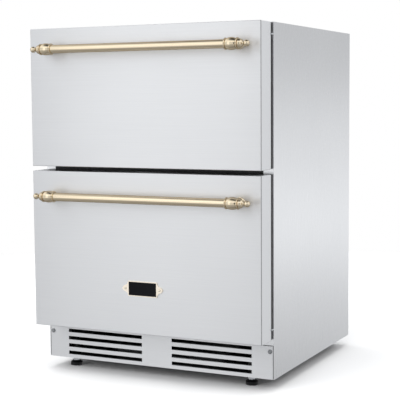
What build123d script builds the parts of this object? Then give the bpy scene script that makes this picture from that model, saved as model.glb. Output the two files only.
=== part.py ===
"""Under-counter refrigerator with two full-width drawers, built as separate pieces in millimetres.

+X is to the right seen from the front, the drawers face -Y, +Z is up. The origin is on the floor
under the middle of the whole object's box, with the drawers shut.
"""
import os
from math import cos, radians, sin, sqrt

from build123d import *

os.makedirs("parts", exist_ok=True)

# Driving dimensions of the cabinet
CABINET_WIDTH = 600
CABINET_DEPTH = 532.5
TOP_Z = 830
UNDERSIDE_Z = 30
SHEET = 1.2                 # outer steel sheet
FLANGE_WIDTH = 25           # folded front edge of the side walls and the top
SKIRT_Z = 28                # lower edge of the side walls and the toe kick, just below the tray
KICK_TOP_Z = 106.5
KICK_RETURN = 19            # depth of the fold along the top of the toe kick
KICK_GAP = 1.6              # open joint beside and above the toe kick

# Drawers
DRAWER_WIDTH = 594
DRAWER_THICKNESS = 55
GASKET_GAP = 10             # between a drawer's back and the cabinet
UPPER_DRAWER_Z = (505, TOP_Z)
LOWER_DRAWER_Z = (119, 494)
SKIN = 1.0
SKIN_FOLD_RADIUS = 1.5
INNER_PANEL = 2.0

# Handles
HANDLE_PROJECTION = 28.7    # drawer face to bar axis
HANDLE_OFFSET_X = 3
BAR_RADIUS = 9.6
BAR_HALF_LENGTH = 221.5     # to the shoulder of the end fitting
BAR_SOCKET_DEPTH = 10
BARREL_RADIUS = 13.8
POST_FROM_SHOULDER = 22
HANDLE_BELOW_TOP = (50, 59)  # upper drawer, lower drawer
SCREW_RADIUS = 2.5
HANDLE_THREAD = 10          # length of the screw inside its post

# Inner liner and insulation
LINER_HALF_WIDTH = 254
LINER_WALL = 2
LINER_FLOOR_Z = 152
LINER_CEILING_Z = 786
LINER_DEPTH = 482
LOWER_DEPTH = 318           # depth of the compartment in front of the machine bay
STEP_Z = 292                # floor over the machine bay
MULLION_Z = (464, 535)
MULLION_DEPTH = 28

# Machine bay
BAY_FRONT = 350             # from the cabinet front
BAY_TOP_Z = 262

# Telescopic slides: length, the three members' outer half heights, and their places from the wall
SLIDE_START = 8
SLIDE_LENGTH = 440
SLIDE_STEEL = 1.5
SLIDE_Z = (610, 345)        # upper drawer, lower drawer
OUTER_HALF_HEIGHT = 23
MIDDLE_HALF_HEIGHT = 20
INNER_HALF_HEIGHT = 16.5
ARM_THICKNESS = 3.3

# Feet
FRONT_FEET_X = (-252, 226)
REAR_FEET_X = (-238, 238)
FOOT_INSET = (45, 488)      # front and rear feet, from the cabinet front
STEM_RADIUS = 5
NUT_RADIUS = 8.6
NUT_HEIGHT = 9
RUNNING = 0.05              # radial clearance of a running fit

# Worked out from the above
HALF_WIDTH = CABINET_WIDTH / 2
HALF_DRAWER = DRAWER_WIDTH / 2
STANDOFF = DRAWER_THICKNESS + GASKET_GAP
TOTAL_DEPTH = CABINET_DEPTH + STANDOFF + HANDLE_PROJECTION + BARREL_RADIUS
BACK_Y = TOTAL_DEPTH / 2
FRONT_Y = BACK_Y - CABINET_DEPTH
FACE_Y = FRONT_Y - STANDOFF
DRAWER_BACK_Y = FRONT_Y - GASKET_GAP
BAR_Y = FACE_Y - HANDLE_PROJECTION
FLANGE_X = HALF_WIDTH - FLANGE_WIDTH
WALL_X = HALF_WIDTH - SHEET
BAY_FRONT_Y = FRONT_Y + BAY_FRONT
LINER_BACK_Y = FRONT_Y + LINER_DEPTH
LINER_FACE_Y = FRONT_Y + SHEET
BAY_REAR_Y = BACK_Y - 3 * SHEET
PAN_TOP_Z = UNDERSIDE_Z + SHEET
SIDES = (-1, 1)


def save(piece, name):
    """Labels a finished piece and writes it to its own STEP file."""
    piece.label = name
    export_step(piece, f"parts/{name}.step")


def block(x, y, z, mode=Mode.ADD):
    """A box between two limits on each axis, in the part being built."""
    with Locations(((x[0] + x[1]) / 2, (y[0] + y[1]) / 2, (z[0] + z[1]) / 2)):
        Box(abs(x[1] - x[0]), abs(y[1] - y[0]), abs(z[1] - z[0]), mode=mode)


def rod(start, end, radius, mode=Mode.ADD):
    """A cylinder from one point to another, in the part being built."""
    run = Vector(*end) - Vector(*start)
    with Locations(Plane(origin=start, z_dir=run)):
        Cylinder(radius, run.length, align=(Align.CENTER, Align.CENTER, Align.MIN), mode=mode)


def screw(head_point, direction, length, head_radius, head_height, shank_radius):
    """A pan-head screw whose head stands on head_point, its shank running along direction."""
    point = Vector(*head_point)
    along = Vector(*direction)
    rod(point, point - along * head_height, head_radius)
    rod(point, point + along * length, shank_radius)


# Cabinet shell -----------------------------------------------------------------------------------

def make_side_panel(side, name):
    """Steel side wall folded round the front as a flange and round the back as a narrow one."""
    rear_flange_x = HALF_WIDTH - 18
    with BuildPart() as panel:
        block((side * WALL_X, side * HALF_WIDTH), (FRONT_Y, BACK_Y), (SKIRT_Z, TOP_Z))
        block((side * FLANGE_X, side * WALL_X), (FRONT_Y, FRONT_Y + SHEET), (KICK_TOP_Z, TOP_Z))
        block((side * rear_flange_x, side * WALL_X), (BACK_Y - SHEET, BACK_Y), (SKIRT_Z, TOP_Z))
        uprights = panel.edges().filter_by(Axis.Z)
        outermost = -1 if side > 0 else 0
        front_edge = uprights.group_by(Axis.Y)[0].sort_by(Axis.X)[outermost]
        rear_edge = uprights.group_by(Axis.Y)[-1].sort_by(Axis.X)[outermost]
        fillet([front_edge, rear_edge], radius=SHEET - 0.2)
    save(panel.part, name)


make_side_panel(-1, "side_panel_left")
make_side_panel(1, "side_panel_right")

with BuildPart() as top_panel:
    block((-WALL_X, WALL_X), (FRONT_Y + SHEET, BAY_REAR_Y), (TOP_Z - SHEET, TOP_Z))
    block((-FLANGE_X, FLANGE_X), (FRONT_Y, FRONT_Y + SHEET), (TOP_Z - FLANGE_WIDTH, TOP_Z))
save(top_panel.part, "top_panel")

# Back: a fixed panel above, a vented cover below, and the fasteners along their side edges
REAR_SPLIT_Z = BAY_TOP_Z + 20
FASTENER_X = 272
FASTENER_RADIUS = 2
RIVET_POINTS = [(side * FASTENER_X, z) for side in SIDES for z in (300, 430, 560, 690, 815)]
COVER_SCREW_POINTS = [(side * FASTENER_X, z) for side in SIDES for z in (62, 158, 254)]


def drill_back(point):
    """A fastener's hole through the sheet at the back."""
    start = (point[0], BAY_REAR_Y - 1, point[1])
    end = (point[0], BAY_REAR_Y + SHEET + 1, point[1])
    rod(start, end, FASTENER_RADIUS + RUNNING, Mode.SUBTRACT)


with BuildPart() as rear_panel:
    block((-WALL_X, WALL_X), (BAY_REAR_Y, BAY_REAR_Y + SHEET), (REAR_SPLIT_Z, TOP_Z))
    for point in RIVET_POINTS:
        drill_back(point)
save(rear_panel.part, "rear_panel")

GLAND_X = -240
GLAND_Z = 80
GLAND_RADIUS = 8
BAY_SLOT = (170, 5)         # length and height of an air slot in the rear cover
BAY_SLOT_X = 130
BAY_SLOT_PITCH = 15
LOWEST_BAY_SLOT_Z = 110
with BuildPart() as machine_bay_cover:
    block((-WALL_X, WALL_X), (BAY_REAR_Y, BAY_REAR_Y + SHEET), (PAN_TOP_Z, REAR_SPLIT_Z))
    for side in SIDES:
        for row in range(9):
            slot_z = LOWEST_BAY_SLOT_Z + BAY_SLOT_PITCH * row
            with BuildSketch(Plane.XZ.offset(-BAY_REAR_Y + SHEET)):
                with Locations((side * BAY_SLOT_X, slot_z)):
                    SlotOverall(*BAY_SLOT)
            extrude(amount=-4 * SHEET, mode=Mode.SUBTRACT)
    rod((GLAND_X, BAY_REAR_Y - 5, GLAND_Z), (GLAND_X, BACK_Y, GLAND_Z), GLAND_RADIUS, Mode.SUBTRACT)
    for point in COVER_SCREW_POINTS:
        drill_back(point)
save(machine_bay_cover.part, "machine_bay_cover")

# Rivets in the rear panel and screws in the cover below it, with low domed heads
HEAD_RADIUS = 4.2
HEAD_HEIGHT = 1.8
HEAD_DOME = 1.4
COVER_SCREW_LENGTH = 7
with BuildPart() as rear_fasteners:
    for points, length in ((RIVET_POINTS, SHEET), (COVER_SCREW_POINTS, COVER_SCREW_LENGTH)):
        for x, z in points:
            screw((x, BAY_REAR_Y + SHEET, z), (0, -1, 0), length, HEAD_RADIUS, HEAD_HEIGHT, FASTENER_RADIUS)
    domes = rear_fasteners.faces().filter_by(Axis.Y).group_by(Axis.Y)[-1]
    fillet(domes.edges(), radius=HEAD_DOME)
save(rear_fasteners.part, "rear_fasteners")

# Floor tray on which everything stands, with threaded bushes for the feet and tabs for the toe kick
FEET = zip((FRONT_FEET_X, REAR_FEET_X), FOOT_INSET)
FOOT_POINTS = [(x, FRONT_Y + inset) for feet_x, inset in FEET for x in feet_x]
KICK_SCREW = (290, 92)      # distance from the middle, height
KICK_TAB = (280, 100)       # inner edge and top of the tab that each kick screw goes into
BUSH_RADIUS = 9
BUSH_HEIGHT = 26
TRAY_EDGE = 14
with BuildPart() as base_pan:
    block((-WALL_X, WALL_X), (FRONT_Y + SHEET, BAY_REAR_Y), (UNDERSIDE_Z, PAN_TOP_Z))
    for side in SIDES:
        edge_x = (side * (WALL_X - SHEET), side * WALL_X)
        block(edge_x, (FRONT_Y + SHEET, BAY_REAR_Y), (PAN_TOP_Z, PAN_TOP_Z + TRAY_EDGE))
        tab_x = (side * KICK_TAB[0], side * WALL_X)
        block(tab_x, (FRONT_Y + SHEET, FRONT_Y + 2 * SHEET), (PAN_TOP_Z, KICK_TAB[1]))
        screw_point = (side * KICK_SCREW[0], FRONT_Y, KICK_SCREW[1])
        rod(screw_point, (screw_point[0], FRONT_Y + 5, screw_point[2]), 2.1, Mode.SUBTRACT)
    for x, y in FOOT_POINTS:
        rod((x, y, PAN_TOP_Z), (x, y, PAN_TOP_Z + BUSH_HEIGHT), BUSH_RADIUS)
        rod((x, y, 0), (x, y, PAN_TOP_Z + BUSH_HEIGHT), STEM_RADIUS + RUNNING, Mode.SUBTRACT)
save(base_pan.part, "base_pan")

# One folded sheet: under the compartment floor, up its front edge, and over the machine bay
with BuildPart() as machine_bay_divider:
    block((-FLANGE_X, FLANGE_X), (FRONT_Y, FRONT_Y + SHEET), (KICK_TOP_Z, LINER_FLOOR_Z - LINER_WALL))
    block((-WALL_X, WALL_X), (FRONT_Y + SHEET, BAY_FRONT_Y), (KICK_TOP_Z, KICK_TOP_Z + SHEET))
    block((-WALL_X, WALL_X), (BAY_FRONT_Y - SHEET, BAY_FRONT_Y), (KICK_TOP_Z, BAY_TOP_Z))
    block((-WALL_X, WALL_X), (BAY_FRONT_Y - SHEET, BAY_REAR_Y), (BAY_TOP_Z, BAY_TOP_Z + SHEET))
save(machine_bay_divider.part, "machine_bay_divider")

# Toe kick with two groups of air slots, each with a folded lip behind its lower edge
SLOT_X = (39.9, 245.2)
SLOT_HEIGHT = 8.7
SLOT_PITCH = 18.3
LOWEST_SLOT_Z = 36.8
LIP_DEPTH = 7
with BuildPart() as toe_kick_grille:
    kick_x = (KICK_GAP - WALL_X, WALL_X - KICK_GAP)
    kick_top = KICK_TOP_Z - KICK_GAP
    block(kick_x, (FRONT_Y, FRONT_Y + SHEET), (SKIRT_Z, kick_top))
    return_y = (FRONT_Y + SHEET, FRONT_Y + KICK_RETURN)
    block(kick_x, return_y, (kick_top - SHEET, kick_top))
    for side in SIDES:
        slot_x = (side * SLOT_X[0], side * SLOT_X[1])
        for row in range(4):
            low = LOWEST_SLOT_Z + SLOT_PITCH * row
            block(slot_x, (FRONT_Y - 1, FRONT_Y + 2 * SHEET), (low, low + SLOT_HEIGHT), Mode.SUBTRACT)
            block(slot_x, (FRONT_Y + SHEET, FRONT_Y + LIP_DEPTH), (low - SHEET, low))
        hole = (side * KICK_SCREW[0], FRONT_Y - 1, KICK_SCREW[1])
        rod(hole, (hole[0], FRONT_Y + 2 * SHEET, hole[2]), 2.3, Mode.SUBTRACT)
save(toe_kick_grille.part, "toe_kick_grille")

with BuildPart() as toe_kick_screws:
    for side in SIDES:
        screw((side * KICK_SCREW[0], FRONT_Y, KICK_SCREW[1]), (0, 1, 0), 9, 5.2, 2.4, 2)
    heads = toe_kick_screws.faces().filter_by(Axis.Y).group_by(Axis.Y)[0]
    fillet(heads.edges(), radius=1.6)
save(toe_kick_screws.part, "toe_kick_screws")

# Small bumpers at the edge of the flanges, just outside the gaskets
BUMPER_RADIUS = 1.8
BUMPER_POINTS = [(side * 297.8, z) for side in SIDES for z in (144, 803)]
with BuildPart() as drawer_bumpers:
    for x, z in BUMPER_POINTS:
        rod((x, FRONT_Y, z), (x, DRAWER_BACK_Y + 0.5, z), BUMPER_RADIUS)
save(drawer_bumpers.part, "drawer_bumpers")


# Liner, mullion and insulation -------------------------------------------------------------------

def stepped_cavity(grow, front, mode=Mode.ADD):
    """The room for both drawers: full depth above the machine bay, shallower below."""
    half = LINER_HALF_WIDTH + grow
    upper_z = (STEP_Z - grow, LINER_CEILING_Z + grow)
    lower_z = (LINER_FLOOR_Z - grow, STEP_Z)
    block((-half, half), (front, LINER_BACK_Y + grow), upper_z, mode)
    block((-half, half), (front, FRONT_Y + LOWER_DEPTH + grow), lower_z, mode)


with BuildPart() as inner_liner:
    liner_rim_z = (KICK_TOP_Z + SHEET, TOP_Z - SHEET)
    block((-WALL_X + SHEET, WALL_X - SHEET), (LINER_FACE_Y, LINER_FACE_Y + LINER_WALL), liner_rim_z)
    stepped_cavity(LINER_WALL, LINER_FACE_Y)
    stepped_cavity(0, FRONT_Y - 1, Mode.SUBTRACT)
save(inner_liner.part, "inner_liner")

with BuildPart() as insulation_foam:
    foam_front = LINER_FACE_Y + LINER_WALL
    block((-WALL_X, WALL_X), (foam_front, BAY_REAR_Y), (KICK_TOP_Z + SHEET, TOP_Z - SHEET))
    stepped_cavity(LINER_WALL, foam_front - 1, Mode.SUBTRACT)
    bay_y = (BAY_FRONT_Y - SHEET, BACK_Y)
    bay_z = (KICK_TOP_Z, BAY_TOP_Z + SHEET)
    block((-HALF_WIDTH, HALF_WIDTH), bay_y, bay_z, Mode.SUBTRACT)
save(insulation_foam.part, "insulation_foam")

with BuildPart() as mullion:
    block((-FLANGE_X, FLANGE_X), (FRONT_Y, FRONT_Y + SHEET), MULLION_Z)
    inside = LINER_HALF_WIDTH - 0.2
    block((-inside, inside), (FRONT_Y + SHEET, FRONT_Y + MULLION_DEPTH), MULLION_Z)
    fillet(mullion.edges().filter_by(Axis.X).group_by(Axis.Y)[-1], radius=4)
save(mullion.part, "mullion")


# Telescopic slides -------------------------------------------------------------------------------

def channel(side, z, web, lip_end, half_height, y):
    """One C-shaped slide member: a web and two lips, web and lip_end measured from the middle."""
    web_x = (side * web[0], side * web[1])
    block(web_x, y, (z - half_height, z + half_height))
    lip_start = web[0] if lip_end < web[0] else web[1]
    for low in (z - half_height, z + half_height - SLIDE_STEEL):
        block((side * lip_start, side * lip_end), y, (low, low + SLIDE_STEEL))


SLIDE_Y = (FRONT_Y + SLIDE_START, FRONT_Y + SLIDE_START + SLIDE_LENGTH)
OUTER_WEB = (LINER_HALF_WIDTH - SLIDE_STEEL, LINER_HALF_WIDTH)
MIDDLE_WEB = (OUTER_WEB[0] - 0.7 - SLIDE_STEEL, OUTER_WEB[0] - 0.7)
INNER_WEB = (LINER_HALF_WIDTH - 12.7, LINER_HALF_WIDTH - 12.7 + SLIDE_STEEL)

with BuildPart() as slide_outer_members:
    for z in SLIDE_Z:
        for side in SIDES:
            channel(side, z, OUTER_WEB, OUTER_WEB[0] - 8.5, OUTER_HALF_HEIGHT, SLIDE_Y)
save(slide_outer_members.part, "slide_outer_members")


def make_slide_middles(z, name):
    """The pair of middle members, which travel half as far as their drawer."""
    with BuildPart() as middles:
        for side in SIDES:
            y = (SLIDE_Y[0] + 2, SLIDE_Y[1] - 2)
            channel(side, z, MIDDLE_WEB, MIDDLE_WEB[0] - 7.3, MIDDLE_HALF_HEIGHT, y)
    save(middles.part, name)


make_slide_middles(SLIDE_Z[0], "upper_slide_middle_members")
make_slide_middles(SLIDE_Z[1], "lower_slide_middle_members")


# Drawers -----------------------------------------------------------------------------------------

def handle_post_x(side):
    """Where a handle's post meets the drawer."""
    return HANDLE_OFFSET_X + side * (BAR_HALF_LENGTH + POST_FROM_SHOULDER)


def make_front_skin(z, handle_z, name):
    """Folded steel drawer face, open at the back, with a hole behind each handle post."""
    with BuildPart() as skin:
        block((-HALF_DRAWER, HALF_DRAWER), (FACE_Y, DRAWER_BACK_Y), z)
        folds = skin.edges().filter_by(Axis.Y) + skin.faces().sort_by(Axis.Y)[0].edges()
        fillet(folds, radius=SKIN_FOLD_RADIUS)
        offset(amount=-SKIN, openings=skin.faces().sort_by(Axis.Y)[-1])
        for side in SIDES:
            x = handle_post_x(side)
            hole_ends = ((x, FACE_Y - 1, handle_z), (x, FACE_Y + 2, handle_z))
            rod(*hole_ends, SCREW_RADIUS + 0.3, Mode.SUBTRACT)
    save(skin.part, name)


def make_foam_core(z, handle_z, name):
    """Insulation inside the drawer front, with a pocket for each handle screw's head."""
    inset = SKIN + 0.6
    with BuildPart() as core:
        foam_y = (FACE_Y + SKIN, DRAWER_BACK_Y - INNER_PANEL)
        block((-HALF_DRAWER + inset, HALF_DRAWER - inset), foam_y, (z[0] + inset, z[1] - inset))
        for side in SIDES:
            x = handle_post_x(side)
            rod((x, FACE_Y, handle_z), (x, FACE_Y + 8, handle_z), 6, Mode.SUBTRACT)
    save(core.part, name)


def make_inner_panel(z, name):
    """Plate closing the back of the drawer front, under the gasket."""
    inset = SKIN + 0.2
    with BuildPart() as panel:
        panel_y = (DRAWER_BACK_Y - INNER_PANEL, DRAWER_BACK_Y)
        block((-HALF_DRAWER + inset, HALF_DRAWER - inset), panel_y, (z[0] + inset, z[1] - inset))
        fillet(panel.edges().filter_by(Axis.Y), radius=1)
    save(panel.part, name)


def make_gasket(z, name):
    """Magnetic seal: a rounded frame that stops just short of the cabinet."""
    margin = 1.5
    width = 24
    outer_x = HALF_DRAWER - margin
    with BuildPart() as gasket:
        gasket_y = (DRAWER_BACK_Y, FRONT_Y - 0.4)
        block((-outer_x, outer_x), gasket_y, (z[0] + margin, z[1] - margin))
        inner_x = outer_x - width
        hole_z = (z[0] + margin + width, z[1] - margin - width)
        block((-inner_x, inner_x), (gasket_y[0] - 1, FRONT_Y), hole_z, Mode.SUBTRACT)
        fillet(gasket.faces().sort_by(Axis.Y)[-1].edges(), radius=3)
    save(gasket.part, name)


def make_bin(z, rear_y, name):
    """Open-topped sheet bin with a rolled rim."""
    wall = 2
    half = LINER_HALF_WIDTH - 12.7 - ARM_THICKNESS
    with BuildPart() as bin_box:
        block((-half, half), (DRAWER_BACK_Y, rear_y), z)
        fillet(bin_box.edges().filter_by(Axis.Z), radius=6)
        fillet(bin_box.faces().sort_by(Axis.Z)[0].edges(), radius=4)
        offset(amount=-wall, openings=bin_box.faces().sort_by(Axis.Z)[-1])
    save(bin_box.part, name)


def make_slide_inners(slide_z, name):
    """The pair of inner slide members with the arms that carry the bin and the drawer front."""
    arm_outer = INNER_WEB[0]
    arm_inner = arm_outer - ARM_THICKNESS
    with BuildPart() as inners:
        for side in SIDES:
            y = (SLIDE_Y[0] + 4, SLIDE_Y[1] - 4)
            channel(side, slide_z, INNER_WEB, INNER_WEB[1] + 6.2, INNER_HALF_HEIGHT, y)
            arm_z = (slide_z - INNER_HALF_HEIGHT, slide_z + INNER_HALF_HEIGHT)
            block((side * arm_inner, side * arm_outer), (DRAWER_BACK_Y, y[1]), arm_z)
    save(inners.part, name)


def make_handle_bar(handle_z, name):
    """Plain round bar whose ends sit in the end fittings."""
    reach = BAR_HALF_LENGTH + BAR_SOCKET_DEPTH
    with BuildPart() as bar:
        left_end = (HANDLE_OFFSET_X - reach, BAR_Y, handle_z)
        right_end = (HANDLE_OFFSET_X + reach, BAR_Y, handle_z)
        rod(left_end, right_end, BAR_RADIUS)
        fillet(bar.edges().filter_by(GeomType.CIRCLE), radius=0.8)
    save(bar.part, name)


def make_handle_brackets(handle_z, name):
    """Turned end fittings, each with its post: collar, barrel, ring, bulb, neck and ball."""
    ball_middle = 50.8
    ball = 7.2
    neck = 2.8
    neck_end = ball_middle - sqrt(ball ** 2 - neck ** 2)
    with BuildPart() as brackets:
        for side in SIDES:
            shoulder = (HANDLE_OFFSET_X + side * BAR_HALF_LENGTH, BAR_Y, handle_z)
            with BuildSketch(Plane(origin=shoulder, x_dir=(side, 0, 0), z_dir=(0, 0, side))):
                with BuildLine():
                    Line((0, 0), (0, 11.5))
                    ThreePointArc((0, 11.5), (1.6, 13.2), (3.2, 11.5))
                    Polyline((3.2, 11.5), (3.6, 10.8), (4.4, 10.8), (4.4, 11.4))
                    ThreePointArc((4.4, 11.4), (15.6, BARREL_RADIUS), (26.8, 11.4))
                    Polyline((26.8, 11.4), (26.8, 10.3), (27.8, 10.3), (28, 11.6))
                    ThreePointArc((28, 11.6), (29.6, 13.2), (31.2, 11.6))
                    Polyline((31.2, 11.6), (31.6, 9.6), (32.4, 9.6), (32.6, 10.6))
                    ThreePointArc((32.6, 10.6), (37.6, 9.4), (41, 5.6))
                    ThreePointArc((41, 5.6), (42.4, 3.9), (neck_end, neck))
                    ThreePointArc((neck_end, neck), (ball_middle, ball), (ball_middle + ball, 0))
                    Line((ball_middle + ball, 0), (0, 0))
                make_face()
            revolve(axis=Axis(shoulder, (1, 0, 0)))
            post_x = handle_post_x(side)
            post = (post_x, FACE_Y, handle_z)
            with BuildSketch(Plane(origin=post, x_dir=(1, 0, 0), z_dir=(0, 0, 1))):
                with BuildLine():
                    Line((0, 0), (11.2, 0))
                    ThreePointArc((11.2, 0), (11.7, -1.3), (10.8, -2.4))
                    ThreePointArc((10.8, -2.4), (8.9, -3.8), (8, -6.4))
                    Polyline((8, -6.4), (7.4, -20), (0, -20), (0, 0))
                make_face()
            revolve(axis=Axis(post, (0, 1, 0)))
            socket_end = (shoulder[0] + side * (BAR_SOCKET_DEPTH + 0.3), BAR_Y, handle_z)
            rod(shoulder, socket_end, BAR_RADIUS + RUNNING, Mode.SUBTRACT)
            thread_end = (post_x, FACE_Y - HANDLE_THREAD - 1, handle_z)
            rod(post, thread_end, SCREW_RADIUS + RUNNING, Mode.SUBTRACT)
    save(brackets.part, name)


def make_handle_screws(handle_z, name):
    """Screws from inside the drawer face into the handle posts."""
    with BuildPart() as screws:
        for side in SIDES:
            head_point = (handle_post_x(side), FACE_Y + SKIN, handle_z)
            screw(head_point, (0, -1, 0), SKIN + HANDLE_THREAD, 4.6, 3.2, SCREW_RADIUS)
    save(screws.part, name)


def make_drawer(level, z, handle_z, slide_z, bin_z, bin_rear_y):
    """Every piece of one drawer."""
    make_front_skin(z, handle_z, f"{level}_drawer_front_skin")
    make_foam_core(z, handle_z, f"{level}_drawer_foam_core")
    make_inner_panel(z, f"{level}_drawer_inner_panel")
    make_gasket(z, f"{level}_drawer_gasket")
    make_bin(bin_z, bin_rear_y, f"{level}_drawer_bin")
    make_slide_inners(slide_z, f"{level}_slide_inner_members")
    make_handle_bar(handle_z, f"{level}_handle_bar")
    make_handle_brackets(handle_z, f"{level}_handle_brackets")
    make_handle_screws(handle_z, f"{level}_handle_screws")


UPPER_HANDLE_Z = UPPER_DRAWER_Z[1] - HANDLE_BELOW_TOP[0]
LOWER_HANDLE_Z = LOWER_DRAWER_Z[1] - HANDLE_BELOW_TOP[1]
UPPER_BIN_Z = (542, 750)
LOWER_BIN_Z = (165, 430)
BIN_DEPTH = (418, 305)      # upper and lower bin, from the cabinet front
make_drawer("upper", UPPER_DRAWER_Z, UPPER_HANDLE_Z, SLIDE_Z[0], UPPER_BIN_Z, FRONT_Y + BIN_DEPTH[0])
make_drawer("lower", LOWER_DRAWER_Z, LOWER_HANDLE_Z, SLIDE_Z[1], LOWER_BIN_Z, FRONT_Y + BIN_DEPTH[1])

# Badge on the lower drawer: a blank plate in a frame with a pinned ear at each end
BADGE_Z = 225.5
BADGE_PLATE = (72, 31.5)
BADGE_RIM = 2
PIN_X = 44.5
EAR_TIP_X = 53
BADGE_THICKNESS = 2.2
BADGE_BACKING = 0.8         # frame left behind the plate
PIN_RADIUS = 1.5
badge_plane = Plane.XZ.offset(-FACE_Y).shift_origin((0, FACE_Y, BADGE_Z))

with BuildPart() as badge_frame:
    rim_x = BADGE_PLATE[0] / 2 + BADGE_RIM
    rim_z = BADGE_PLATE[1] / 2 + BADGE_RIM
    with BuildSketch(badge_plane):
        RectangleRounded(2 * rim_x, 2 * rim_z, 1.5)
        for side in SIDES:
            root_x = side * (rim_x - 3)
            with BuildLine():
                for up in SIDES:
                    shoulder_z = up * (rim_z - 1)
                    waist = (side * 44, up * 7.6)
                    Line((root_x, 0), (root_x, shoulder_z))
                    Line((root_x, shoulder_z), (side * rim_x, shoulder_z))
                    ThreePointArc((side * rim_x, shoulder_z), (side * 40.2, up * 11), waist)
                    ThreePointArc(waist, (side * 49.5, up * 5.2), (side * EAR_TIP_X, 0))
            make_face()
    extrude(amount=BADGE_THICKNESS)
    with BuildSketch(badge_plane.offset(BADGE_BACKING)):
        Rectangle(*BADGE_PLATE)
    extrude(amount=BADGE_THICKNESS, mode=Mode.SUBTRACT)
    for side in SIDES:
        pin = (side * PIN_X, FACE_Y, BADGE_Z)
        rod(pin, (pin[0], FACE_Y - 5, BADGE_Z), PIN_RADIUS, Mode.SUBTRACT)
save(badge_frame.part, "badge_frame")

with BuildPart() as badge_plate:
    with BuildSketch(badge_plane.offset(BADGE_BACKING)):
        Rectangle(*BADGE_PLATE)
    extrude(amount=0.9)
save(badge_plate.part, "badge_plate")

with BuildPart() as badge_pins:
    for side in SIDES:
        pin_head = (side * PIN_X, FACE_Y - BADGE_THICKNESS, BADGE_Z)
        screw(pin_head, (0, 1, 0), BADGE_THICKNESS, 2.9, 1.8, PIN_RADIUS)
    fillet(badge_pins.faces().group_by(Axis.Y)[0].edges(), radius=1.5)
save(badge_pins.part, "badge_pins")


# Levelling feet ----------------------------------------------------------------------------------

def make_foot(x, y, name):
    """Black moulded pad and steel nut on a screw stem that turns in the floor tray's bush."""
    with BuildPart() as foot:
        with BuildSketch(Plane(origin=(x, y, 0), x_dir=(1, 0, 0), z_dir=(0, -1, 0))):
            with BuildLine():
                Line((0, 0), (14, 0))
                Line((14, 0), (15, 1))
                Line((15, 1), (15, 7))
                ThreePointArc((15, 7), (13.6, 9.2), (11, 10))
                Polyline((11, 10), (9.5, 12.5), (STEM_RADIUS, 12.5), (STEM_RADIUS, 54), (0, 54), (0, 0))
            make_face()
        revolve(axis=Axis((x, y, 0), (0, 0, 1)))
        with BuildSketch(Plane.XY.offset(12.5)):
            with Locations((x, y)):
                RegularPolygon(NUT_RADIUS, 6)
        extrude(amount=NUT_HEIGHT)
    save(foot.part, name)


FOOT_NAMES = ("front_left_foot", "front_right_foot", "rear_left_foot", "rear_right_foot")
for point, foot_name in zip(FOOT_POINTS, FOOT_NAMES):
    make_foot(*point, foot_name)


# Machine bay -------------------------------------------------------------------------------------

BAY_MIDDLE_Y = (BAY_FRONT_Y + BAY_REAR_Y) / 2
COMPRESSOR_X = 132
COMPRESSOR_RADIUS = 56
GROMMET_HEIGHT = 12
PLATE_Z = PAN_TOP_Z + GROMMET_HEIGHT
SHELL_Z = PLATE_Z + 3
SHELL_HEIGHT = 118
GROMMET_POINTS = [(COMPRESSOR_X + sx * 68, BAY_MIDDLE_Y + sy * 45) for sx in SIDES for sy in SIDES]

with BuildPart() as compressor:
    shell_base = (COMPRESSOR_X, BAY_MIDDLE_Y, SHELL_Z)
    rod(shell_base, (COMPRESSOR_X, BAY_MIDDLE_Y, SHELL_Z + SHELL_HEIGHT), COMPRESSOR_RADIUS)
    fillet(compressor.edges().filter_by(GeomType.CIRCLE), radius=26)
    seam = (COMPRESSOR_X, BAY_MIDDLE_Y, SHELL_Z + 66)
    rod(seam, (COMPRESSOR_X, BAY_MIDDLE_Y, seam[2] + 4), COMPRESSOR_RADIUS + 3)
    plate_x = (COMPRESSOR_X - 84, COMPRESSOR_X + 84)
    block(plate_x, (BAY_MIDDLE_Y - 58, BAY_MIDDLE_Y + 58), (PLATE_Z, SHELL_Z))
    fillet(compressor.edges().filter_by(Axis.Z), radius=12)
    for x, y in GROMMET_POINTS:
        rod((x, y, PLATE_Z - 1), (x, y, SHELL_Z + 1), 6, Mode.SUBTRACT)
save(compressor.part, "compressor")

with BuildPart() as compressor_grommets:
    for x, y in GROMMET_POINTS:
        rod((x, y, PAN_TOP_Z), (x, y, PLATE_Z), 11)
        rod((x, y, PLATE_Z), (x, y, SHELL_Z), 6)
        rod((x, y, SHELL_Z), (x, y, SHELL_Z + 4), 9)
save(compressor_grommets.part, "compressor_grommets")


TUBE_OVERHANG = 6


def make_finned_coil(name, x, y, z, fins, tube_points, tube_radius):
    """A heat exchanger: thin fins across the X direction on straight tubes, between end plates."""
    with BuildPart() as coil:
        for n in range(fins):
            fin_x = x[0] + (x[1] - x[0]) * n / (fins - 1)
            block((fin_x - 0.5, fin_x + 0.5), y, z)
        for tube_y, tube_z in tube_points:
            tube_start = (x[0] - TUBE_OVERHANG, tube_y, tube_z)
            rod(tube_start, (x[1] + TUBE_OVERHANG, tube_y, tube_z), tube_radius)
    save(coil.part, name)


FAN_Z = 146
CONDENSER_X = (-236, -112)
condenser_tubes = [(BAY_MIDDLE_Y + dy, FAN_Z + dz) for dy in (-50, 0, 50) for dz in (-60, -20, 20, 60)]
CONDENSER_Y = (BAY_MIDDLE_Y - 76, BAY_MIDDLE_Y + 76)
CONDENSER_Z = (FAN_Z - 82, FAN_Z + 76)
CONDENSER_FINS = 21
COIL_TUBE_RADIUS = 4
make_finned_coil("condenser_coil", CONDENSER_X, CONDENSER_Y, CONDENSER_Z, CONDENSER_FINS, condenser_tubes,
                 COIL_TUBE_RADIUS)

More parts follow.
